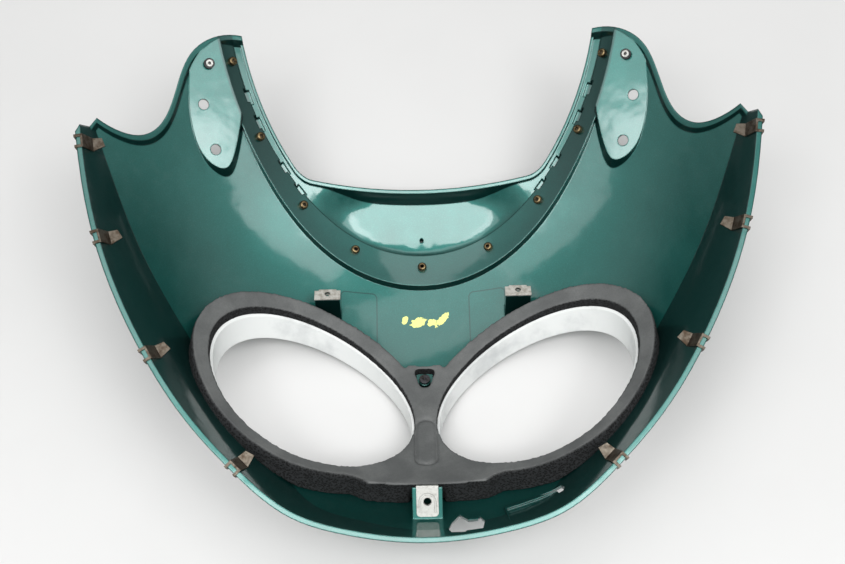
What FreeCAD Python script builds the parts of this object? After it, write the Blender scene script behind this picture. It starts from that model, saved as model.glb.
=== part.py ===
import FreeCAD, Part
import math
import os

V = FreeCAD.Vector

# Nose fairing of a motorcycle, lying on its outer face. Millimetres, +Z up.
# X runs across the fairing, +Y from the chin to the screen, Z towards the rider.

# Dish: one curve along Y added to one curve along X.
skin = 3.0
nose_radius = 240.0
screen_slope = 40.0
chin_slope = 44.0
cross_radius = 300.0
cross_slope = 44.0

# Rim plane and the flared side wall that ends on it.
chin_y = -154.5
chin_z = 56.2
rim_tilt = 26.1
wall_flare = 22.0
wall_depth = 175.0
rim_points = [(60.0, 7.0), (98.0, 19.5), (138.5, 51.5), (174.5, 90.5), (206.5, 138.0), (248.0, 231.0),
              (266.5, 320.5), (277.0, 427.0)]
rim_grow = 2.0
lip_out = 0.8
lip_deep = 4.0

# Upper outline in plan, from the corner past the notch and over the ear.
corner_end = (292.0, 92.0)
tip_y = 256.0
ear_points = [(256.4, 152.0), (244.7, 151.7), (228.7, 156.5), (211.5, 174.0),
              (201.5, 198.8), (190.0, 228.0), (172.5, 246.5)]
ear_lip = 3.5

# Screen seat: everything is concentric round one point in plan.
screen_y = 292.0
step_a = 175.0
step_b = 188.0
seat_a = 163.0
seat_b = 161.0
open_radius = 154.0
open_chord = 177.0
open_fillet = 22.0
seat_rise = 6.0
seat_tilt = 0.22
seat_fade = 0.7
fade_from = 165.0
fade_run = 90.0
land_drop = 2.0
pocket_deep = 9.25
pocket_half = 98.0
pocket_y = 160.0
pocket_run = 30.0
pocket_flat = 0.65
edge_lip = 2.5

# Blind slots in the inner step, angles below the X axis.
slot_angles = [26.0, 32.3, 43.6, 50.0]
slot_wide = 3.0
slot_bite = 2.2
slot_long = 9.0
slot_sink = 1.6
drain_r = 1.6
drain_y = 150.0

# Threaded screen inserts, angles from the centre line.
insert_a = 167.0
insert_b = 171.5
insert_angles = [-72.0, -55.3, -37.8, -20.5, 0.0, 20.5, 37.8, 55.3, 72.0]
insert_r = 3.8
insert_high = 4.5
insert_dome = 1.8
insert_body_r = 2.8
insert_lift = 0.08
insert_bore_r = 1.65

# Mirror pad: a flat seat pressed towards the rider.
pad_x = 177.0
pad_y = 205.0
pad_rise = 7.0
pad_lean = 25.0
pad_points = [(170.0, 247.0), (187.0, 234.0), (192.0, 206.0), (189.0, 180.0), (178.0, 164.0),
              (165.0, 162.0), (156.0, 176.0)]
pad_skin = 4.0
mirror_r = 4.4
mirror_pitch = 39.0
mirror_turn = 14.0
mirror_across = -1.0
mirror_along = -25.0
grommet_across = -1.1
grommet_along = 28.0
grommet_r = 4.4
grommet_hole_r = 3.4
grommet_high = 4.2
grommet_under = 2.0
sleeve_r = 2.3
sleeve_bore_r = 1.3
sleeve_flange_r = 3.0
sleeve_flange = 1.0

# Headlight openings, leaning along the lamp axis, sizes in the plane Z = 0.
lamp_lean = 0.30
lamp_x = 89.7
lamp_y = -25.6
lamp_a = 84.0
lamp_b = 68.0
lamp_turn = 29.0
trim_skin = 2.0
trim_rise = 14.5
foam_high = 20.0
foam_lean = -0.30
foam_x = 105.2
foam_y = -26.6
foam_a = 105.6
foam_b = 83.2
foam_turn = 16.2
web_points = [(82.0, -98.0), (46.0, -116.0), (-46.0, -116.0), (-82.0, -98.0), (-14.0, 19.0), (14.0, 19.0)]
groove_y = -62.0
groove_half = 19.0
groove_long = 56.0
groove_wide = 3.0
groove_deep = 2.2

# Boss with a screw in the middle of the foam.
boss_y = 14.5
boss_window = [(-9.0, 21.5), (9.0, 21.5), (3.5, 4.5), (-3.5, 4.5)]
boss_round = 3.0
boss_r = 5.0
boss_high = 14.0
boss_screw_r = 2.6
boss_head_r = 4.4
boss_head = 2.6
boss_screw_long = 8.0

# Chin damage on the right.
torn_points = [(15, -142), (18, -133), (24, -124), (30, -131), (37, -131), (39, -128), (42, -134),
               (40, -145), (28, -146), (27, -148), (17, -147)]
hook_points = [(84, -112), (87, -111), (101, -106), (103, -109), (101, -114), (98, -115), (97, -112),
               (85, -114)]
rib_points = [(57, -121), (98, -109), (103, -126), (60, -142)]
rib_inner = [(59, -124), (97, -112), (110, -128), (62, -160)]
rib_high = 2.2

# Brackets and their spring nuts.
bracket_x = 81.0
bracket_y = 85.5
bracket_wide = 21.0
bracket_deep = 9.5
bracket_high = 21.0
bracket_skin = 2.5
bracket_bore_r = 2.5
bracket_play = 0.5
tab_wide = 22.6
tab_front = -128.0
tab_long = 24.0
tab_slope = 40.0
nut_skin = 1.2
nut_wide = 16.6
nut_round = 3.0
nut_ring = 5.0
nut_ring_wide = 1.4
nut_ring_deep = 0.6
nut_tongue = 8.0
nut_over = 22.0
nut_bore_r = 3.0
nut_barrel_r = 4.6
nut_barrel = 3.2
nut_room = 6.5
tab_bore_r = 3.5

# Spring clips astride the rim, positions along the rim plane.
clip_at = [54.0, 140.0, 232.0, 310.0]
clip_names = ["chin", "lower", "middle", "corner"]
clip_skin = 1.2
clip_wide = 11.0
clip_gap = 6.6
clip_leg = 13.0
clip_outer = 8.0
clip_plate = 10.0
clip_play = 0.15
clear = 1.0

# How it lies: turned about X, then set on the floor.
lie_turn = -11.9
lie_y = -73.36
lie_z = 8.11


def curve_z(u, radius, slope):
    u = abs(u)
    s = math.radians(slope)
    turn = radius * math.sin(s)
    if u <= turn:
        return radius - math.sqrt(radius * radius - u * u)
    return radius * (1 - math.cos(s)) + (u - turn) * math.tan(s)


def curve_slope(u, radius, slope):
    turn = radius * math.sin(math.radians(slope))
    a = min(abs(u), turn)
    return math.copysign(a / math.sqrt(radius * radius - a * a), u)


def end_slope(y):
    return screen_slope if y > 0 else chin_slope


def base_z(x, y):
    return curve_z(x, cross_radius, cross_slope) + curve_z(y, nose_radius, end_slope(y))


def base_grad(x, y):
    return curve_slope(x, cross_radius, cross_slope), curve_slope(y, nose_radius, end_slope(y))


def level_z(x, y, off):
    gx, gy = base_grad(x, y)
    return base_z(x, y) + off * math.sqrt(1 + gx * gx + gy * gy)


def surface(fn, x0, x1, nx, y0, y1, ny):
    rows = []
    for i in range(nx):
        x = x0 + (x1 - x0) * i / (nx - 1)
        row = []
        for j in range(ny):
            y = y0 + (y1 - y0) * j / (ny - 1)
            row.append(V(x, y, fn(x, y)))
        rows.append(row)
    s = Part.BSplineSurface()
    s.interpolate(rows)
    return s.toShape()


def above(off):
    face = surface(lambda x, y: level_z(x, y, off), -320.0, 320.0, 17, -215.0, 305.0, 18)
    return face.extrude(V(0, 0, 450))


def seat_off(x, y):
    # The seat leans in towards the opening and sinks into the ear near its tip.
    r2 = (x / step_a) ** 2 + ((y - screen_y) / step_b) ** 2
    up = min(max((y - fade_from) / fade_run, 0.0), 1.0)
    fade = 1 - seat_fade * up * up * (3 - 2 * up)
    return seat_rise * fade - seat_tilt * step_b * (1 - r2) / 2


def seat_z(x, y):
    return level_z(x, y, seat_off(x, y))


def seat_normal(x, y):
    h = 0.5
    gx = (seat_z(x + h, y) - seat_z(x - h, y)) / (2 * h)
    gy = (seat_z(x, y + h) - seat_z(x, y - h)) / (2 * h)
    return V(-gx, -gy, 1).normalize()


def above_seat(extra):
    def fn(x, y):
        return level_z(x, y, seat_off(x, y) + extra)
    return surface(fn, -195.0, 195.0, 23, 88.0, 285.0, 17).extrude(V(0, 0, 300))


def pocket(x, y):
    r = 1 - (x / pocket_half) ** 2 - ((y - pocket_y) / pocket_run) ** 2
    r = min(max(r / pocket_flat, 0.0), 1.0)
    return r * r * (3 - 2 * r)


def above_land(extra):
    def fn(x, y):
        return level_z(x, y, extra - land_drop - pocket_deep * pocket(x, y))
    return surface(fn, -172.0, 172.0, 37, 122.0, 280.0, 29).extrude(V(0, 0, 300))


def plan_face(edges):
    return Part.Face(Part.Wire(edges))


def upright(face, z0=-60.0, z1=420.0, lean=0.0, side=0.0):
    f = face.copy()
    f.translate(V(side * z0, lean * z0, z0))
    return f.extrude(V(side, lean, 1) * (z1 - z0))


def ellipse(cx, cy, a, b, turn=0.0):
    if a >= b:
        e = Part.Ellipse(V(0, 0, 0), a, b).toShape()
        extra = 0.0
    else:
        e = Part.Ellipse(V(0, 0, 0), b, a).toShape()
        extra = 90.0
    e.rotate(V(0, 0, 0), V(0, 0, 1), turn + extra)
    e.translate(V(cx, cy, 0))
    return plan_face([e])


def spline(points):
    c = Part.BSplineCurve()
    c.interpolate([V(p[0], p[1], 0) for p in points])
    return c


def polygon(points):
    corners = [V(p[0], p[1], 0) for p in points]
    return Part.Face(Part.makePolygon(corners + [corners[0]]))


def mirror(shape):
    return shape.mirror(V(0, 0, 0), V(1, 0, 0))


def both(shape):
    return [shape, mirror(shape)]


def shifted(points, d):
    # Each point moves by d to the right of the way along the list.
    out = []
    n = len(points)
    for i in range(n):
        a = points[max(i - 1, 0)]
        b = points[min(i + 1, n - 1)]
        dx, dy = b[0] - a[0], b[1] - a[1]
        k = math.hypot(dx, dy)
        out.append((points[i][0] + d * dy / k, points[i][1] - d * dx / k))
    return out


# Rim plane: a frame with X across, v up the slope and w out of the bowl.
rim_frame = FreeCAD.Placement(V(0, chin_y, chin_z), FreeCAD.Rotation(V(1, 0, 0), rim_tilt))
flare = math.tan(math.radians(wall_flare))
side_wall = skin / math.cos(math.radians(wall_flare))


def rim_outline(d):
    half = [(0.0, 0.0)] + rim_points
    right = shifted(half, d + rim_grow)[1:]
    left = [(-p[0], p[1]) for p in right[::-1]]
    rim = spline(left + [(0.0, -d - rim_grow)] + right).toShape()
    top_r = V(right[-1][0], right[-1][1], 0)
    top_l = V(left[0][0], left[0][1], 0)
    return Part.Wire([rim, Part.makeLine(top_r, top_l)])


def wall_body(d, w0, w1):
    wires = []
    for w in (w0, w1):
        wire = rim_outline(d + w * flare)
        wire.translate(V(0, 0, w))
        wires.append(wire)
    body = Part.makeLoft(wires, True, True)
    body.Placement = rim_frame.multiply(body.Placement)
    return body


# Plan of the kept area: ears, notches and the screen opening.
ear_tip = (math.sqrt(open_radius ** 2 - (tip_y - screen_y) ** 2), tip_y)


def outer_plan(d):
    pts = shifted(ear_points + [ear_tip], -d)
    start = (corner_end[0] - d, corner_end[1] - d)
    right = [V(340, -260, 0), V(340, start[1], 0), V(start[0], start[1], 0), V(pts[0][0], pts[0][1], 0)]
    edges = []
    for a, b in zip(right, right[1:]):
        edges.append(Part.makeLine(a, b))
    edges.append(spline(pts).toShape())
    for e in list(edges):
        edges.append(e.mirror(V(0, 0, 0), V(1, 0, 0)))
    edges.append(Part.makeLine(V(-340, -260, 0), V(340, -260, 0)))
    edges.append(Part.makeLine(V(pts[-1][0], pts[-1][1], 0), V(-pts[-1][0], pts[-1][1], 0)))
    return Part.Face(Part.Wire(Part.__sortEdges__(edges)))


def screen_plan(d):
    # Circle cut by a chord, the two corners rounded, drawn d larger all round.
    r = open_radius + d
    y0 = open_chord - d
    f = open_fillet
    cy = y0 + f
    cx = math.sqrt((r - f) ** 2 - (screen_y - cy) ** 2)
    k = r / (r - f)
    tx, ty = cx * k, screen_y + (cy - screen_y) * k
    mid_a = math.atan2(ty - cy, tx - cx)
    m = (mid_a - math.pi / 2) / 2
    arc = Part.Arc(V(tx, ty, 0), V(cx + f * math.cos(m), cy + f * math.sin(m), 0), V(cx, y0, 0)).toShape()
    top = Part.Arc(V(tx, ty, 0), V(0, screen_y + r, 0), V(-tx, ty, 0)).toShape()
    flat = Part.makeLine(V(cx, y0, 0), V(-cx, y0, 0))
    return Part.Face(Part.Wire(Part.__sortEdges__([arc, mirror(arc), top, flat])))


out_0 = above(-skin)
in_0 = above(0.0)
in_seat = above_seat(0.0)
out_seat = above_seat(-skin)
in_lip = above(ear_lip)
land_in = above_land(0.0)
land_out = above_land(-skin)

outline = upright(outer_plan(0.0))
keep = outline.cut(upright(screen_plan(0.0)))
wall_out = wall_body(0.0, -wall_depth, 0.0)
wall_in = wall_body(-side_wall, -wall_depth, 6.0)

# Skin, side wall and the thicker edge of the rim.
shell = wall_body(lip_out, -lip_deep, 0.0).fuse(wall_out).common(out_0)
shell = shell.cut(wall_in.common(in_0))

# Screen seat with its two steps, and the land with the pocket beyond it.
step_out = upright(ellipse(0, screen_y, step_a, step_b))
step_in = upright(ellipse(0, screen_y, step_a - skin, step_b - skin))
seat_in = upright(ellipse(0, screen_y, seat_a, seat_b))
seat_out = upright(ellipse(0, screen_y, seat_a + skin, seat_b + skin))
seat = step_out.common(out_seat).cut(in_seat).cut(seat_in)
riser = step_out.cut(step_in).common(out_0).cut(in_seat)
land = seat_out.common(land_out)
land_wall = land.cut(seat_in).cut(in_seat)
edge = upright(screen_plan(edge_lip)).common(land).cut(in_0)
land = land.cut(land_in)

# Turned lip along the notches and over the ears.
inside = upright(outer_plan(skin))
lip_band = outline.cut(inside)
lip_band = lip_band.common(upright(polygon([(-285, 120), (285, 120), (285, 320), (-285, 320)])))
lip_band = lip_band.common(wall_out).common(out_0).cut(in_lip)

shell = shell.cut(step_in)
shell = shell.fuse([seat, riser, land, land_wall, edge, lip_band])
shell = shell.common(keep)

# Mirror pads.
pad_grad = V(math.tan(math.radians(pad_lean)), math.tan(math.radians(screen_slope)), 0)
pad_normal = V(-pad_grad.x, -pad_grad.y, 1).normalize()
pad_centre = V(pad_x, pad_y, base_z(pad_x, pad_y) + pad_rise)


def below_pad(off):
    c = []
    for x, y in ((60, 60), (300, 60), (300, 340), (60, 340)):
        z = pad_centre.z + pad_grad.x * (x - pad_x) + pad_grad.y * (y - pad_y) + off / pad_normal.z
        c.append(V(x, y, z))
    return Part.Face(Part.makePolygon(c + [c[0]])).extrude(V(0, 0, -500))


def pad_plan(d):
    ring = [pad_points[-1]] + pad_points + [pad_points[0]]
    pts = shifted(ring, d)[1:-1]
    c = Part.BSplineCurve()
    c.interpolate([V(p[0], p[1], 0) for p in pts], True)
    return upright(Part.Face(Part.Wire([c.toShape()])))


pad_along = V(0, 1, pad_grad.y).normalize()
pad_across = pad_along.cross(pad_normal)


def pad_point(a, b):
    return pad_centre + pad_across * a + pad_along * b


pad = pad_plan(0.0).cut(step_in).common(inside).common(out_0).common(below_pad(0.0))
pad_hollow = pad_plan(skin).cut(step_out).common(below_pad(-pad_skin))
mt = math.radians(mirror_turn)
mirror_mid = pad_point(mirror_across, mirror_along)
mirror_way = pad_across * math.sin(mt) + pad_along * math.cos(mt)
grommet_at = pad_point(grommet_across, grommet_along)


def drill(r, at, way, long=40.0):
    return Part.makeCylinder(r, long, at - way * (long / 2), way)


side_cuts = [pad_hollow, drill(grommet_hole_r, grommet_at, pad_normal)]
for s in (0.5, -0.5):
    side_cuts.append(drill(mirror_r, mirror_mid + mirror_way * (mirror_pitch * s), pad_normal))

# Headlight openings.
lamp_hole = upright(ellipse(lamp_x, lamp_y, lamp_a, lamp_b, lamp_turn), lean=lamp_lean)
lamp_bore = upright(ellipse(lamp_x, lamp_y, lamp_a - trim_skin, lamp_b - trim_skin, lamp_turn),
                    lean=lamp_lean)
side_cuts.append(lamp_hole)

# Blind slots in the edge of the inner step.
above_slot = above_land(-slot_sink)
for deg in slot_angles:
    a = math.radians(deg)
    box = Part.makeBox(slot_wide + slot_bite, slot_long, 400, V(-slot_wide, -slot_long / 2, -20))
    box.rotate(V(0, 0, 0), V(0, 0, 1), -deg)
    box.translate(V(seat_a * math.cos(a), screen_y - seat_b * math.sin(a), 0))
    side_cuts.append(box.common(above_slot))

# Hollow brackets for the upper spring nuts.
bracket_z = base_z(bracket_x, bracket_y)
bracket_top = bracket_z + bracket_high


def block(w, y0, y1, z0, z1, x=0.0):
    return Part.makeBox(w, y1 - y0, z1 - z0, V(x - w / 2, y0, z0))


bracket = block(bracket_wide, bracket_y - bracket_deep, bracket_y, bracket_z - 30, bracket_top, bracket_x)
bracket = bracket.cut(block(bracket_wide - 2 * bracket_skin, bracket_y - bracket_deep + bracket_skin,
                            bracket_y + 1, bracket_z - 40, bracket_top - bracket_skin, bracket_x))
bracket = bracket.common(out_0)
bracket_in = (bracket_deep - bracket_skin) / 2
bracket_bore = V(bracket_x, bracket_y - bracket_in, bracket_top)
side_cuts.append(Part.makeCylinder(bracket_bore_r + bracket_play, bracket_skin + 1,
                                   bracket_bore - V(0, 0, bracket_skin + 0.5)))

# Tab at the chin: a sloping plate on two side walls, open towards the lamps.
ts = math.radians(tab_slope)
tab_way = V(0, math.cos(ts), math.sin(ts))
tab_up = V(0, -math.sin(ts), math.cos(ts))
tab_foot = V(0, tab_front, base_z(0, tab_front))
tab_end = tab_foot + tab_way * tab_long


def tab_wedge(w, drop, front):
    a = tab_foot + tab_up * (-drop) - tab_way * front
    b = tab_end + tab_up * (-drop)
    pts = [a, b, V(0, b.y, -20), V(0, a.y, -20)]
    f = Part.Face(Part.makePolygon(pts + [pts[0]]))
    f.translate(V(-w / 2, 0, 0))
    return f.extrude(V(w, 0, 0))


tab = tab_wedge(tab_wide, 0.0, 6.0)
tab_room = tab_wedge(tab_wide - 2 * bracket_skin, bracket_skin, 6.0)
tab = tab.cut(tab_room.common(in_0)).common(out_0)
tab_bore = tab_foot + tab_way * (tab_long * 0.55)

# Boss for the middle screw.
boss_way = V(0, 0, 1)
boss_top = V(0, boss_y, boss_high)
boss = Part.makeCylinder(boss_r, boss_high + 10, V(0, boss_y, -10)).common(out_0)

# Broken chin: a torn hole, a slot left by a lost hook and the rib beside it.
torn = upright(polygon(torn_points), -20.0, 120.0)
hook = upright(polygon(hook_points), -20.0, 120.0)
rib = upright(polygon(rib_points), -20.0, 120.0)
rib = rib.cut(upright(polygon(rib_inner), -20.0, 120.0)).common(above(-1.0)).cut(above(rib_high))

adds = both(pad) + both(bracket) + [tab, boss, rib]
shell = shell.fuse(adds)
cuts = []
for c in side_cuts:
    cuts += both(c)
cuts.append(Part.makeCylinder(drain_r, 300, V(0, drain_y, -60)))
cuts.append(drill(tab_bore_r, tab_bore, tab_up, 16.0))
cuts.append(drill(boss_screw_r, boss_top, boss_way, 2 * boss_screw_long))
cuts += [torn, hook]

# Screen inserts, each square to the seat.
inserts = []
for deg in insert_angles:
    a = math.radians(deg)
    x, y = insert_a * math.sin(a), screen_y - insert_b * math.cos(a)
    n = seat_normal(x, y)
    p = V(x, y, seat_z(x, y))
    cuts.append(Part.makeCylinder(insert_body_r, 2.5 * skin, p - n * (1.8 * skin), n))
    body = Part.makeCylinder(insert_body_r, skin + clear, p - n * skin, n)
    head = Part.makeCylinder(insert_r, insert_high - insert_lift, p + n * insert_lift, n)
    top = p + n * insert_high
    rim = [e for e in head.Edges if (e.CenterOfMass - top).Length < 0.01]
    head = head.makeFillet(insert_dome, rim)
    inserts.append(body.fuse(head).cut(drill(insert_bore_r, p, n)).removeSplitter())

shell = shell.cut(cuts).removeSplitter()
shell = max(shell.Solids, key=lambda s: s.Volume)

# Foam gasket: two lobes and a web, on the inner face round both openings.
foam_lobe = upright(ellipse(foam_x, foam_y, foam_a, foam_b, foam_turn), lean=lamp_lean, side=foam_lean)
foam = foam_lobe.fuse([mirror(foam_lobe), upright(polygon(web_points), lean=lamp_lean)])
foam = foam.common(in_0).cut(above(foam_high)).common(wall_body(-side_wall - 1.0, -wall_depth, 6.0))
window = upright(polygon(boss_window))
corners = [e for e in window.Edges if abs(e.tangentAt(e.FirstParameter).z) > 0.9]
window = window.makeFillet(boss_round, corners)
groove = groove_half * 0.5
ring = []
for half, length in ((groove, groove_long / 2), (groove - groove_wide, groove_long / 2 - groove_wide)):
    f = polygon([(-half, groove_y - length), (half, groove_y - length), (half, groove_y + length),
                 (-half, groove_y + length)])
    s = upright(f, lean=lamp_lean)
    ends = [e for e in s.Edges if abs(e.tangentAt(e.FirstParameter).z) > 0.9]
    ring.append(s.makeFillet(half * 0.9, ends))
groove_cut = ring[0].cut(ring[1]).common(above(foam_high - groove_deep))
foam_room = block(tab_wide + 4 * clear, tab_front - 30, tab_end.y + nut_room, -20, 150)
foam = foam.cut(both(lamp_hole) + [window, groove_cut, foam_room])
foam = max(foam.Solids, key=lambda s: s.Volume)

# Pale trim ring lining each opening.
trim = lamp_hole.cut(lamp_bore).common(out_0).cut(above(trim_rise))

# Rubber grommet and steel sleeve of each mirror pad.
g = grommet_at
n = pad_normal
sleeve_low = g - n * (pad_skin + grommet_under)
grommet = Part.makeCylinder(grommet_r, grommet_high, g, n)
grommet = grommet.fuse([Part.makeCylinder(grommet_hole_r, pad_skin, g - n * pad_skin, n),
                        Part.makeCylinder(grommet_r - 0.5, grommet_under, sleeve_low, n)])
grommet = grommet.cut(drill(sleeve_r, g, n)).removeSplitter()
sleeve = Part.makeCylinder(sleeve_r, pad_skin + grommet_under + grommet_high, sleeve_low, n)
sleeve = sleeve.fuse(Part.makeCylinder(sleeve_flange_r, sleeve_flange, g + n * grommet_high, n))
sleeve = sleeve.cut(drill(sleeve_bore_r, g, n)).removeSplitter()


def spring_nut(wide, long, gap):
    # Folded over a plate of thickness gap that ends at Y = 0; the plate top is Z = 0.
    top = Part.makeBox(wide, long + nut_skin, nut_skin, V(-wide / 2, -long, 0))
    back = Part.makeBox(wide, nut_skin, gap + 2 * nut_skin, V(-wide / 2, 0, -gap - nut_skin))
    low = Part.makeBox(wide, long * 0.9 + nut_skin, nut_skin, V(-wide / 2, -long * 0.9, -gap - nut_skin))
    return top.fuse([back, low])


def nut_finish(nut, at_y, gap):
    # Rounded front corners and a pressed groove round the bore, open towards the front.
    front = nut.BoundBox.YMin
    edges = [e for e in nut.Edges if abs(e.CenterOfMass.y - front) < 0.01 and abs(e.tangentAt(0).z) > 0.9]
    nut = nut.makeFillet(nut_round, edges)
    far = nut_ring + nut_ring_wide
    deep = V(0, at_y, nut_skin - nut_ring_deep)
    outer = Part.makeCylinder(far, 2, deep)
    outer = outer.fuse(Part.makeBox(2 * far, nut_tongue, 2, deep - V(far, nut_tongue, 0)))
    inner = Part.makeCylinder(nut_ring, 2, deep)
    inner = inner.fuse(Part.makeBox(2 * nut_ring, nut_tongue, 2, deep - V(nut_ring, nut_tongue, 0)))
    nut = nut.cut(outer.cut(inner))
    barrel = Part.makeCylinder(nut_barrel_r, nut_barrel, V(0, at_y, -gap - nut_skin - nut_barrel))
    nut = nut.fuse(barrel)
    return nut.cut(Part.makeCylinder(nut_bore_r, 30, V(0, at_y, -20))).removeSplitter()


# Spring nut on each upper bracket.
room = bracket_deep - bracket_skin
upper_nut = spring_nut(bracket_wide - 2 * bracket_skin - 1.0, room - 0.5, bracket_skin)
upper_top = Part.makeBox(bracket_wide + 1.0, bracket_deep, nut_skin,
                         V(-bracket_wide / 2 - 0.5, -bracket_deep, 0))
upper_nut = upper_nut.fuse(upper_top)
upper_nut = upper_nut.cut(Part.makeCylinder(bracket_bore_r, 30, V(0, -bracket_in, -20))).removeSplitter()
upper_nut.translate(V(bracket_x, bracket_y, bracket_top))

# Spring nut on the chin tab.
lower_nut = nut_finish(spring_nut(nut_wide, nut_over, bracket_skin), -tab_long * 0.45, bracket_skin)
lower_nut.rotate(V(0, 0, 0), V(1, 0, 0), tab_slope)
lower_nut.translate(tab_end)

# Middle screw.
screw = Part.makeCylinder(boss_screw_r, boss_screw_long, boss_top - boss_way * boss_screw_long, boss_way)
screw = screw.fuse(Part.makeCylinder(boss_head_r, boss_head, boss_top, boss_way))
socket = Part.makeCylinder(1.6, 1.6, boss_top + boss_way * (boss_head - 1.6), boss_way)
screw = screw.cut(socket).removeSplitter()


# Spring clips astride the rim.
def make_clip(at):
    curve = spline([(0.0, 0.0)] + rim_points)
    lo, hi = curve.FirstParameter, curve.LastParameter
    for _ in range(60):
        mid = (lo + hi) / 2
        if curve.value(mid).y < at:
            lo = mid
        else:
            hi = mid
    p = curve.value(lo)
    t = V(*curve.tangent(lo)[0]).normalize()
    out = V(t.y, -t.x, 0)
    p = p + out * rim_grow
    inner = -side_wall - clip_play
    k = flare

    def sheet(pts):
        f = Part.Face(Part.makePolygon([V(a, 0, b) for a, b in pts + [pts[0]]]))
        f.translate(V(0, -clip_wide / 2, 0))
        return f.extrude(V(0, clip_wide, 0))

    s = clip_skin
    top = sheet([(inner - s, 0), (lip_out + clip_play + s, 0), (lip_out + clip_play + s, s), (inner - s, s)])
    low = -clip_leg
    leg = sheet([(inner, s), (inner + low * k, low), (inner + low * k - s, low), (inner - s, s)])
    far = lip_out + clip_play
    outer = sheet([(far, s), (far, -clip_outer), (far + s, -clip_outer), (far + s, s)])
    end = inner + low * k
    half = clip_wide / 2
    flap = [V(end, half, low), V(end, -half, low), V(end - clip_plate, -half * 0.5, low),
            V(end - clip_plate * 0.8, half * 0.8, low)]
    plate = Part.Face(Part.makePolygon(flap + [flap[0]])).extrude(V(0, 0, s))
    clip = top.fuse([leg, outer, plate])
    clip = clip.cut(Part.makeBox(40, clip_gap, 40, V(inner + 0.5, -clip_gap / 2, -20)))
    clip = clip.removeSplitter()
    m = FreeCAD.Matrix(out.x, t.x, 0, p.x, out.y, t.y, 0, p.y, 0, 0, 1, 0, 0, 0, 0, 1)
    place = rim_frame.multiply(FreeCAD.Placement(m))
    clip.Placement = place.multiply(clip.Placement)
    return clip


nodes = {"fairing_shell": shell, "headlight_gasket": foam, "screen_inserts": Part.makeCompound(inserts),
         "chin_spring_nut": lower_nut, "nose_screw": screw}
for side, i in (("right", 0), ("left", 1)):
    nodes["headlight_trim_" + side] = both(trim)[i]
    nodes["mirror_grommet_" + side] = both(grommet)[i]
    nodes["mirror_sleeve_" + side] = both(sleeve)[i]
    nodes["bracket_spring_nut_" + side] = both(upper_nut)[i]
for name, at in zip(clip_names, clip_at):
    clip = make_clip(at)
    for side, i in (("right", 0), ("left", 1)):
        nodes["rim_clip_%s_%s" % (name, side)] = both(clip)[i]

os.makedirs("parts", exist_ok=True)
for name, shape in nodes.items():
    shape.rotate(V(0, 0, 0), V(1, 0, 0), lie_turn)
    shape.translate(V(0, lie_y, lie_z))
    shape.exportStep("parts/%s.step" % name)
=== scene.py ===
import math

import bpy
from mathutils import Matrix, Vector
from mathutils import noise as field


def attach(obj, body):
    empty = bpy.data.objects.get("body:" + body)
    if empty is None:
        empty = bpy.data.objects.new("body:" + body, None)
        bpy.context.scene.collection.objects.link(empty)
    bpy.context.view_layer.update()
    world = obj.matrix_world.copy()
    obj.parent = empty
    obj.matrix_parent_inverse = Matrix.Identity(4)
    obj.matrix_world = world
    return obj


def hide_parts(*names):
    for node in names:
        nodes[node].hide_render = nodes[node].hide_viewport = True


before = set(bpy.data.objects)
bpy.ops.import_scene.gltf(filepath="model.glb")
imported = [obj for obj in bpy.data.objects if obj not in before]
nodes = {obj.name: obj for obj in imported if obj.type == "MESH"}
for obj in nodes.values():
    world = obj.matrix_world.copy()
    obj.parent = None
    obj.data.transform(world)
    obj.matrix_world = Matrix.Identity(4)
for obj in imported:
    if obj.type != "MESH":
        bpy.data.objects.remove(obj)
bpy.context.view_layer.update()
scene = bpy.context.scene

# The part leans about X as it lies: cosine and sine of the lean, and its shift along Y and Z in metres.
LEAN_COS, LEAN_SIN = 0.9785, 0.2062
SHIFT_Y, SHIFT_Z = -0.0734, 0.0081
NOSE_SHIFT = 0.0735

# Sizes of the fairing in metres, in the frame that it has before it leans.
DISH_RADIUS_X, DISH_RADIUS_Y = 0.3, 0.24
SEAT_Y = 0.292
SEAT_RINGS = ((0.175, 0.188), (0.163, 0.161))
LAMP_X, LAMP_Y = 0.0897, -0.0256
LAMP_A, LAMP_B = 0.084, 0.068
LAMP_TURN = math.radians(29)
LAMP_LEAN = 0.3
FOAM_HIGH = 0.02

# Field outlined beside each upper bracket: middle and half size across and along, and its corner radius.
FIELD = ((0.0557, 0.0155), (0.07, 0.0303))
FIELD_ROUND = 0.004

# Middle, half width, half height and lean of each dab of marker.
DABS = (
    (-0.0162, 0.079, 0.0026, 0.0036, 0.3),
    (-0.0045, 0.0772, 0.0066, 0.0046, 0.6),
    (0.0075, 0.0768, 0.0038, 0.0032, 0.2),
    (0.0162, 0.0785, 0.0042, 0.0058, 0.7),
)

# Camera: frame width and focal length in pixels, place, view direction and roll.
PIXELS = 845
FOCUS = 1200
SENSOR = 36
CAMERA_AT = (0.0, -0.456, 0.9421)
CAMERA_AHEAD = (0.0, 0.4711, -0.8821)
CAMERA_ROLL = math.radians(1.3)

# Sky: strength below the first height and above the second.
SKY_HEIGHTS = (0.28, 0.62)
SKY_STRENGTHS = (0.04, 0.68)


def clamped(value, low=0.0, high=1.0):
    return min(max(value, low), high)


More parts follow.
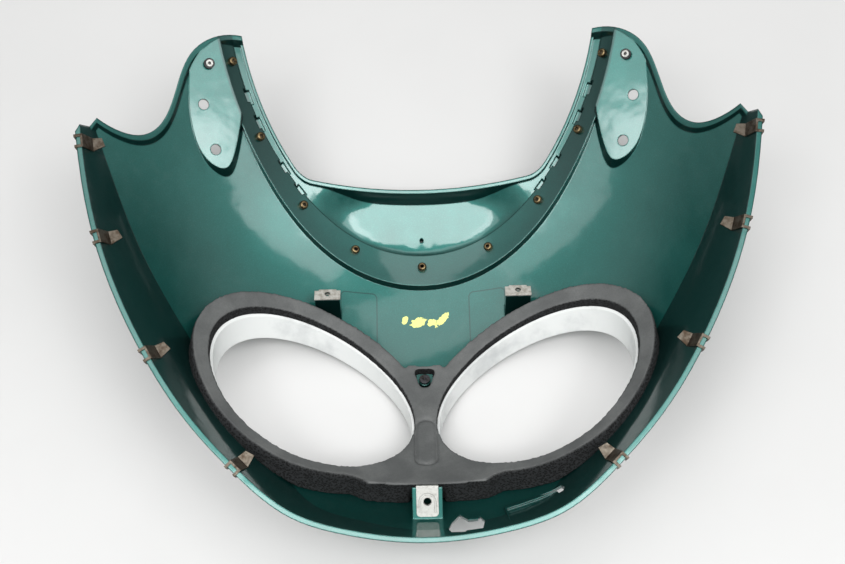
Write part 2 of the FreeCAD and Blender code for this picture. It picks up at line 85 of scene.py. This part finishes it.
class Graph:
    """A node material with short calls for the nodes that are used here."""

    def __init__(self, name, **values):
        self.material = bpy.data.materials.new(name)
        self.material.use_nodes = True
        self.tree = self.material.node_tree
        self.shader = self.tree.nodes["Principled BSDF"]
        self.where = self.node("ShaderNodeTexCoord").outputs["Object"]
        for key, value in values.items():
            self.set(key, value)

    def set(self, key, value):
        self.put(self.shader.inputs[key.replace("_", " ")], value)

    def put(self, socket, value):
        if isinstance(value, bpy.types.NodeSocket):
            self.tree.links.new(value, socket)
        elif isinstance(value, tuple) and socket.type == "RGBA":
            socket.default_value = (*value, 1.0)
        else:
            socket.default_value = value

    def node(self, kind, **settings):
        made = self.tree.nodes.new(kind)
        for key, value in settings.items():
            setattr(made, key, value)
        return made

    def noise(self, scale, detail=3.0, rough=0.55):
        made = self.node("ShaderNodeTexNoise")
        self.put(made.inputs["Vector"], self.where)
        made.inputs["Scale"].default_value = scale
        made.inputs["Detail"].default_value = detail
        made.inputs["Roughness"].default_value = rough
        return made.outputs["Fac"]

    def cells(self, scale, out="Distance"):
        made = self.node("ShaderNodeTexVoronoi")
        self.put(made.inputs["Vector"], self.where)
        made.inputs["Scale"].default_value = scale
        return made.outputs[out]

    def span(self, value, low, high, to_low=0.0, to_high=1.0):
        made = self.node("ShaderNodeMapRange", interpolation_type="SMOOTHSTEP")
        self.put(made.inputs["Value"], value)
        for key, number in zip(("From Min", "From Max", "To Min", "To Max"), (low, high, to_low, to_high)):
            made.inputs[key].default_value = number
        return made.outputs[0]

    def mix(self, share, first, second):
        made = self.node("ShaderNodeMix", data_type="RGBA")
        self.put(made.inputs["Factor"], share)
        self.put(made.inputs[6], first)
        self.put(made.inputs[7], second)
        return made.outputs[2]

    def maths(self, operation, first, second):
        made = self.node("ShaderNodeMath", operation=operation)
        self.put(made.inputs[0], first)
        self.put(made.inputs[1], second)
        return made.outputs[0]

    def size_of(self, value):
        return self.maths("ABSOLUTE", value, 0.0)

    def sum_of_squares(self, first, second):
        return self.maths("ADD", self.maths("MULTIPLY", first, first), self.maths("MULTIPLY", second, second))

    def split(self, vector):
        made = self.node("ShaderNodeSeparateXYZ")
        self.put(made.inputs[0], vector)
        return made.outputs

    def rounded(self, radius):
        made = self.node("ShaderNodeBevel", samples=6)
        made.inputs["Radius"].default_value = radius
        return made.outputs[0]

    def bump(self, height, strength, depth, normal=None):
        made = self.node("ShaderNodeBump")
        made.inputs["Strength"].default_value = strength
        made.inputs["Distance"].default_value = depth
        self.put(made.inputs["Height"], height)
        if normal:
            self.put(made.inputs["Normal"], normal)
        return made.outputs[0]


def on_dish(g):
    """Distances across the fairing and along it from the middle of the nose, in metres."""
    along = g.node("ShaderNodeVectorMath", operation="DOT_PRODUCT")
    g.put(along.inputs[0], g.where)
    along.inputs[1].default_value = (0.0, LEAN_COS, -LEAN_SIN)
    return g.split(g.where)[0], g.maths("ADD", along.outputs["Value"], NOSE_SHIFT)


def seat_shade_share(g):
    """Share of painted shade on the screen seat, growing towards the ears."""
    x, y = on_dish(g)
    rings = []
    for a, b in SEAT_RINGS:
        u = g.maths("DIVIDE", x, a)
        v = g.maths("DIVIDE", g.maths("SUBTRACT", y, SEAT_Y), b)
        rings.append(g.span(g.sum_of_squares(u, v), 0.98, 1.0))
    band = g.maths("SUBTRACT", rings[1], rings[0])
    return g.maths("MULTIPLY", band, g.span(g.size_of(x), 0.02, 0.14, 0.35, 1.0))


def field_lines(g):
    """Thin outline of a rounded field beside each upper bracket."""
    x, y = on_dish(g)
    sides = []
    for value, (middle, half) in zip((g.size_of(x), y), FIELD):
        away = g.size_of(g.maths("SUBTRACT", value, middle))
        sides.append(g.maths("MAXIMUM", g.maths("SUBTRACT", away, half - FIELD_ROUND), 0.0))
    reach = g.maths("POWER", g.sum_of_squares(*sides), 0.5)
    return g.span(g.size_of(g.maths("SUBTRACT", reach, FIELD_ROUND)), 0.0003, 0.0007, 1, 0)


def marker_dabs(g):
    """Rough dabs of a yellow marker above the foam."""
    x, y = on_dish(g)
    ragged = g.span(g.noise(260, 3, 0.6), 0.3, 0.75, -0.4, 0.6)
    cover = 0.0
    for cx, cy, wide, high, lean in DABS:
        dx, dy = g.maths("SUBTRACT", x, cx), g.maths("SUBTRACT", y, cy)
        u = g.maths("DIVIDE", g.maths("SUBTRACT", dx, g.maths("MULTIPLY", dy, lean)), wide)
        v = g.maths("DIVIDE", dy, high)
        edge = g.maths("ADD", g.sum_of_squares(u, v), ragged)
        cover = g.maths("MAXIMUM", cover, g.span(edge, 0.8, 1.05, 1, 0))
    return cover


def green_paint():
    """Metallic paint under a clear coat, with painted shade on steep walls and on the screen seat."""
    g = Graph("green_paint", Coat_Weight=1.0, Coat_Roughness=0.1, Coat_IOR=1.6)
    cloud = g.span(g.noise(6, 4), 0.3, 0.7)
    tone = g.mix(cloud, (0.0055, 0.092, 0.079), (0.0085, 0.116, 0.1))
    speck = g.span(g.noise(1300, 2), 0.42, 0.78)
    tone = g.mix(g.maths("MULTIPLY", speck, 0.3), tone, (0.025, 0.22, 0.185))
    dust = g.span(g.noise(48, 6, 0.7), 0.5, 0.8)
    tone = g.mix(g.maths("MULTIPLY", dust, 0.06), tone, (0.2, 0.25, 0.23))
    facing = g.split(g.node("ShaderNodeTexCoord").outputs["Normal"])[2]
    # Painted shade: faces that stand steep are darkened towards a near-black green.
    steep_wall_shade = g.span(g.size_of(facing), 0.44, 0.66, 0.6, 0.0)
    tone = g.mix(steep_wall_shade, tone, (0.0015, 0.009, 0.012))
    # Painted shade: the screen seat is darkened, more towards the ears.
    tone = g.mix(g.maths("MULTIPLY", seat_shade_share(g), 0.6), tone, (0.001, 0.02, 0.019))
    inside = g.span(facing, 0.5, 0.7)
    line = g.maths("MULTIPLY", field_lines(g), inside)
    tone = g.mix(g.maths("MULTIPLY", line, 0.6), tone, (0.003, 0.02, 0.02))
    mark = g.maths("MULTIPLY", marker_dabs(g), inside)
    g.set("Base_Color", g.mix(mark, tone, (0.8, 0.84, 0.2)))
    g.set("Metallic", g.span(mark, 0, 1, 0.86, 0))
    smear = g.noise(16, 5, 0.6)
    g.set("Roughness", g.span(smear, 0.3, 0.75, 0.42, 0.54))
    soft = g.rounded(0.0014)
    wave = g.bump(g.noise(38, 2), 0.2, 0.0012, soft)
    g.set("Normal", g.bump(g.cells(1500, out="Color"), 0.1, 0.0003, wave))
    g.set("Coat_Normal", wave)
    return g.material


def aged(name, clean, stain, metallic, low, high, size, cover=(0.4, 0.65)):
    """A metal with stains and an uneven polish between the roughness values low and high."""
    g = Graph(name, Metallic=metallic)
    patch = g.span(g.noise(size, 5, 0.65), *cover)
    line = g.noise(size * 3, 3, 0.6)
    tone = g.mix(patch, clean, stain)
    g.set("Base_Color", g.mix(g.span(line, 0.55, 0.8, 0, 0.35), tone, tuple(c * 0.45 for c in clean)))
    g.set("Roughness", g.span(line, 0.25, 0.75, low, high))
    g.set("Normal", g.bump(line, 0.2, 0.0004, g.rounded(0.0004)))
    return g.material


def foam():
    """Grey skin where the attribute skin is 1, dark open pores where it is 0."""
    g = Graph("foam", Specular_IOR_Level=0.35)
    skin = g.node("ShaderNodeAttribute", attribute_name="skin").outputs["Fac"]
    pores = g.span(g.cells(620), 0.1, 0.62)
    fine = g.noise(900, 3, 0.7)
    wear = g.span(g.noise(26, 5, 0.65), 0.35, 0.75)
    top = g.mix(wear, (0.085, 0.089, 0.089), (0.135, 0.14, 0.138))
    top = g.mix(g.span(fine, 0.4, 0.75, 0, 0.35), top, (0.05, 0.053, 0.053))
    side = g.mix(pores, (0.002, 0.002, 0.002), (0.014, 0.015, 0.016))
    g.set("Base_Color", g.mix(skin, side, top))
    g.set("Roughness", g.span(skin, 0, 1, 0.95, 0.62))
    rough = g.bump(pores, 0.9, 0.0016)
    smooth = g.bump(fine, 0.25, 0.0004)
    blend = g.node("ShaderNodeMix", data_type="VECTOR")
    g.put(blend.inputs[0], skin)
    g.put(blend.inputs[4], rough)
    g.put(blend.inputs[5], smooth)
    g.set("Normal", blend.outputs[1])
    return g.material


def pale_trim():
    g = Graph("pale_trim")
    smudge = g.span(g.noise(24, 5, 0.6), 0.45, 0.75)
    g.set("Base_Color", g.mix(smudge, (0.74, 0.76, 0.75), (0.52, 0.54, 0.54)))
    g.set("Roughness", g.span(g.noise(90, 4), 0.3, 0.7, 0.3, 0.5))
    g.set("Normal", g.bump(g.noise(400, 3), 0.15, 0.0003, g.rounded(0.0006)))
    return g.material


def rubber():
    g = Graph("black_rubber", Specular_IOR_Level=0.4)
    dust = g.span(g.noise(300, 4), 0.4, 0.7)
    g.set("Base_Color", g.mix(dust, (0.012, 0.012, 0.013), (0.03, 0.03, 0.031)))
    g.set("Roughness", g.span(g.noise(120, 3), 0.3, 0.7, 0.45, 0.7))
    g.set("Normal", g.bump(g.noise(900, 3), 0.25, 0.0003, g.rounded(0.0004)))
    return g.material


zinc = aged("zinc_steel", (0.4, 0.4, 0.38), (0.25, 0.24, 0.22), 1.0, 0.38, 0.58, 220, (0.5, 0.75))
dull_zinc = aged("dull_zinc", (0.5, 0.49, 0.45), (0.3, 0.28, 0.24), 0.35, 0.4, 0.6, 260)
looks = {
    "fairing_shell": green_paint(),
    "headlight_trim": pale_trim(),
    "screen_inserts": aged("brass", (0.22, 0.165, 0.085), (0.07, 0.05, 0.03), 1.0, 0.28, 0.5, 260),
    "mirror_grommet": rubber(),
    "mirror_sleeve": zinc,
    "chin_spring_nut": zinc,
    "bracket_spring_nut": dull_zinc,
    "nose_screw": aged("dark_steel", (0.1, 0.1, 0.11), (0.05, 0.045, 0.04), 1.0, 0.28, 0.45, 240),
    "rim_clip": aged("spring_steel", (0.125, 0.108, 0.086), (0.05, 0.034, 0.022), 0.85, 0.34, 0.6, 170),
}

for name, thing in nodes.items():
    for start, material in looks.items():
        if name.startswith(start):
            thing.data.materials.clear()
            thing.data.materials.append(material)


def foam_place(point):
    """Distance of a point of the foam from the edge of its lamp opening, and its height over the dish."""
    x, y, z = abs(point.x), point.y - SHIFT_Y, point.z - SHIFT_Z
    y, z = LEAN_COS * y - LEAN_SIN * z, LEAN_SIN * y + LEAN_COS * z
    dish = DISH_RADIUS_X - math.sqrt(DISH_RADIUS_X ** 2 - x * x)
    dish += DISH_RADIUS_Y - math.sqrt(DISH_RADIUS_Y ** 2 - y * y)
    dx, dy = x - LAMP_X, y - LAMP_Y - LAMP_LEAN * z
    c, s = math.cos(LAMP_TURN), math.sin(LAMP_TURN)
    u, w = dx * c + dy * s, dy * c - dx * s
    e = math.hypot(u / LAMP_A, w / LAMP_B)
    gap = (e - 1) * math.hypot(u, w) / e
    # The web between the openings keeps its full height.
    gap *= clamped((x - 0.03) / 0.03)
    return gap, max(z - dish, 0.0)


def foam_gasket():
    """The foam solid as a soft piece: rounded edges, uneven height and a sloping, porous outer side."""
    thing = bpy.data.objects.new("gasket_foam", nodes["headlight_gasket"].data.copy())
    scene.collection.objects.link(thing)
    weld = thing.modifiers.new("weld", "WELD")
    weld.merge_threshold = 0.00002
    cut = thing.modifiers.new("cut", "REMESH")
    cut.mode = "VOXEL"
    cut.voxel_size = 0.0012
    ease = thing.modifiers.new("ease", "SMOOTH")
    ease.factor = 0.5
    ease.iterations = 5
    bpy.context.view_layer.update()
    done = thing.evaluated_get(bpy.context.evaluated_depsgraph_get())
    mesh = bpy.data.meshes.new_from_object(done)
    thing.modifiers.clear()
    thing.data = mesh
    up = Vector((0.0, LEAN_SIN, LEAN_COS))
    skin = mesh.attributes.new("skin", "FLOAT", "POINT")
    moved = []
    for v in mesh.vertices:
        facing = v.normal.dot(up)
        share = clamped((facing - 0.5) / 0.14)
        gap, high = foam_place(v.co)
        slope = clamped((gap - 0.011) * 0.9 / FOAM_HIGH, 0.0, 0.6)
        share *= 1 - clamped((gap - 0.0105) / 0.002)
        skin.data[v.index].value = share
        swell = field.noise(v.co * 28) * 0.0006
        crumb = (field.noise(v.co * 420) - 0.2) * 0.0004 * (1 - share)
        moved.append(v.co + v.normal * (swell + crumb) - up * (high * slope))
    for v, co in zip(mesh.vertices, moved):
        v.co = co
    mesh.polygons.foreach_set("use_smooth", [True] * len(mesh.polygons))
    mesh.materials.clear()
    mesh.materials.append(foam())
    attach(thing, "root")
    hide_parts("headlight_gasket")


foam_gasket()


def floor():
    mesh = bpy.data.meshes.new("floor")
    mesh.from_pydata([(-6, -6, 0), (6, -6, 0), (6, 6, 0), (-6, 6, 0)], [], [(0, 1, 2, 3)])
    thing = bpy.data.objects.new("floor", mesh)
    scene.collection.objects.link(thing)
    g = Graph("floor", Specular_IOR_Level=0.3)
    cloud = g.span(g.noise(3, 4), 0.35, 0.7)
    g.set("Base_Color", g.mix(cloud, (0.645, 0.645, 0.64), (0.62, 0.62, 0.615)))
    g.set("Roughness", g.span(g.noise(12, 4), 0.3, 0.7, 0.45, 0.6))
    mesh.materials.append(g.material)


floor()


def lamp(name, place, target, wide, deep, power):
    data = bpy.data.lights.new(name, "AREA")
    data.shape = "RECTANGLE"
    data.size = wide
    data.size_y = deep
    data.energy = power
    thing = bpy.data.objects.new(name, data)
    thing.location = place
    thing.rotation_euler = (Vector(target) - Vector(place)).to_track_quat("-Z", "Y").to_euler()
    scene.collection.objects.link(thing)


lamp("strip", (0, -0.7925, 1.8224), (0, 0.0767, 0.0376), 2.0, 0.7, 29)
lamp("side_left", (-0.78, -0.43, 1.67), (0.17, 0.13, 0.11), 0.8, 0.8, 3.3)
lamp("side_right", (0.78, -0.43, 1.67), (-0.17, 0.13, 0.11), 0.8, 0.8, 5.8)
lamp("overhead", (-0.2, 0.42, 2.34), (0, 0.055, 0.056), 1.6, 1.0, 7)

world = bpy.data.worlds.new("studio")
scene.world = world
world.use_nodes = True
sky = world.node_tree
split = sky.nodes.new("ShaderNodeSeparateXYZ")
sky.links.new(sky.nodes.new("ShaderNodeTexCoord").outputs["Generated"], split.inputs[0])
rise = sky.nodes.new("ShaderNodeMapRange")
rise.interpolation_type = "SMOOTHSTEP"
for key, number in zip(("From Min", "From Max", "To Min", "To Max"), SKY_HEIGHTS + SKY_STRENGTHS):
    rise.inputs[key].default_value = number
sky.links.new(split.outputs["Z"], rise.inputs["Value"])
sky.links.new(rise.outputs[0], sky.nodes["Background"].inputs["Strength"])
sky.nodes["Background"].inputs["Color"].default_value = (1.0, 1.0, 1.0, 1.0)

ahead = Vector(CAMERA_AHEAD).normalized()
right = Vector((1.0, 0.0, 0.0))
above = right.cross(ahead)
across = right * math.cos(CAMERA_ROLL) - above * math.sin(CAMERA_ROLL)
upward = right * math.sin(CAMERA_ROLL) + above * math.cos(CAMERA_ROLL)
lens = bpy.data.cameras.new("camera")
lens.sensor_fit = "HORIZONTAL"
lens.sensor_width = SENSOR
lens.lens = FOCUS * SENSOR / PIXELS
lens.clip_start = 0.01
camera = bpy.data.objects.new("camera", lens)
turn = Matrix((across, upward, -ahead)).transposed()
camera.matrix_world = Matrix.Translation(CAMERA_AT) @ turn.to_4x4()
scene.collection.objects.link(camera)
scene.camera = camera

scene.view_settings.view_transform = "Standard"
